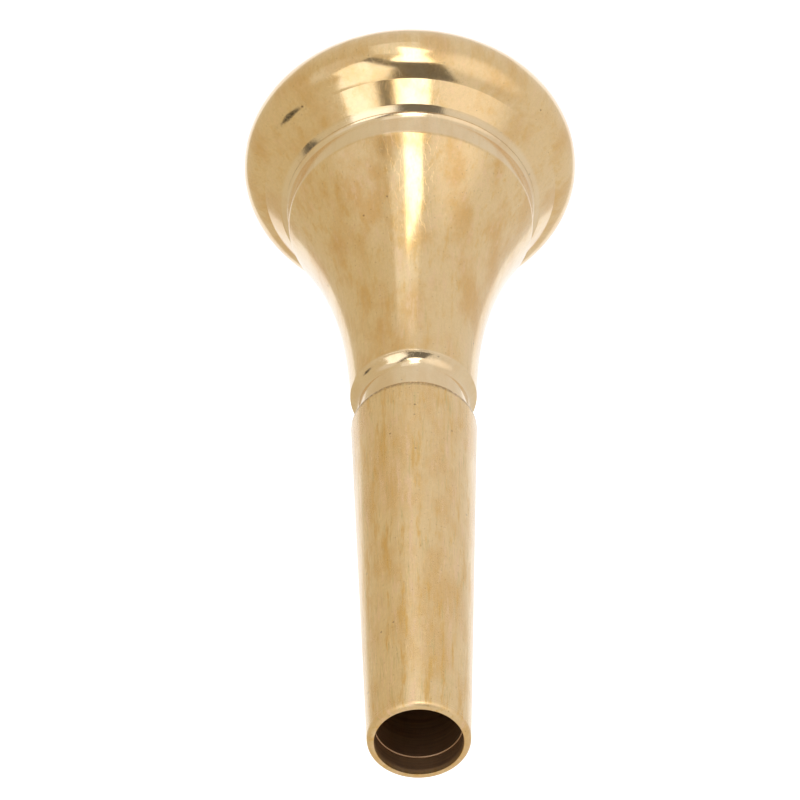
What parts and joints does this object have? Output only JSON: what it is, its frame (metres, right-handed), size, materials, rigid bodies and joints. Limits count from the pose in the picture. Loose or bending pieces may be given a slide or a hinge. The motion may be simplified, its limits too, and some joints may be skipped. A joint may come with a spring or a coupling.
{
  "type": "french horn mouthpiece",
  "caption": "Brass horn mouthpiece with a screw-on rounded rim, a deep funnel cup and a long tapered shank.",
  "frame": {"origin": "centre of the rim's crown plane, where the mouthpiece stands on its rim", "axes": "+Z along the bore from the rim to the open end of the shank; X and Y are arbitrary because every piece is turned about Z"},
  "size_m": [0.0254, 0.0254, 0.0674],
  "materials": {
    "rim_brass": "polished, lightly tarnished",
    "cup_brass": "polished, mottled tarnish",
    "shank_brass": "worn satin, lengthwise scratches"
  },
  "bodies": {
    "rim": {"rim": "rim_brass"},
    "cup": {"cup": "cup_brass"},
    "shank": {"shank": "shank_brass"}
  },
  "joints": [
    {"name": "cup_unscrew", "type": "slide", "parent": "rim", "child": "cup", "axis": [0, 0, 1], "range_m": [0, 0.007]},
    {"name": "shank_unscrew", "type": "slide", "parent": "cup", "child": "shank", "axis": [0, 0, 1], "range_m": [0, 0.009]}
  ]
}
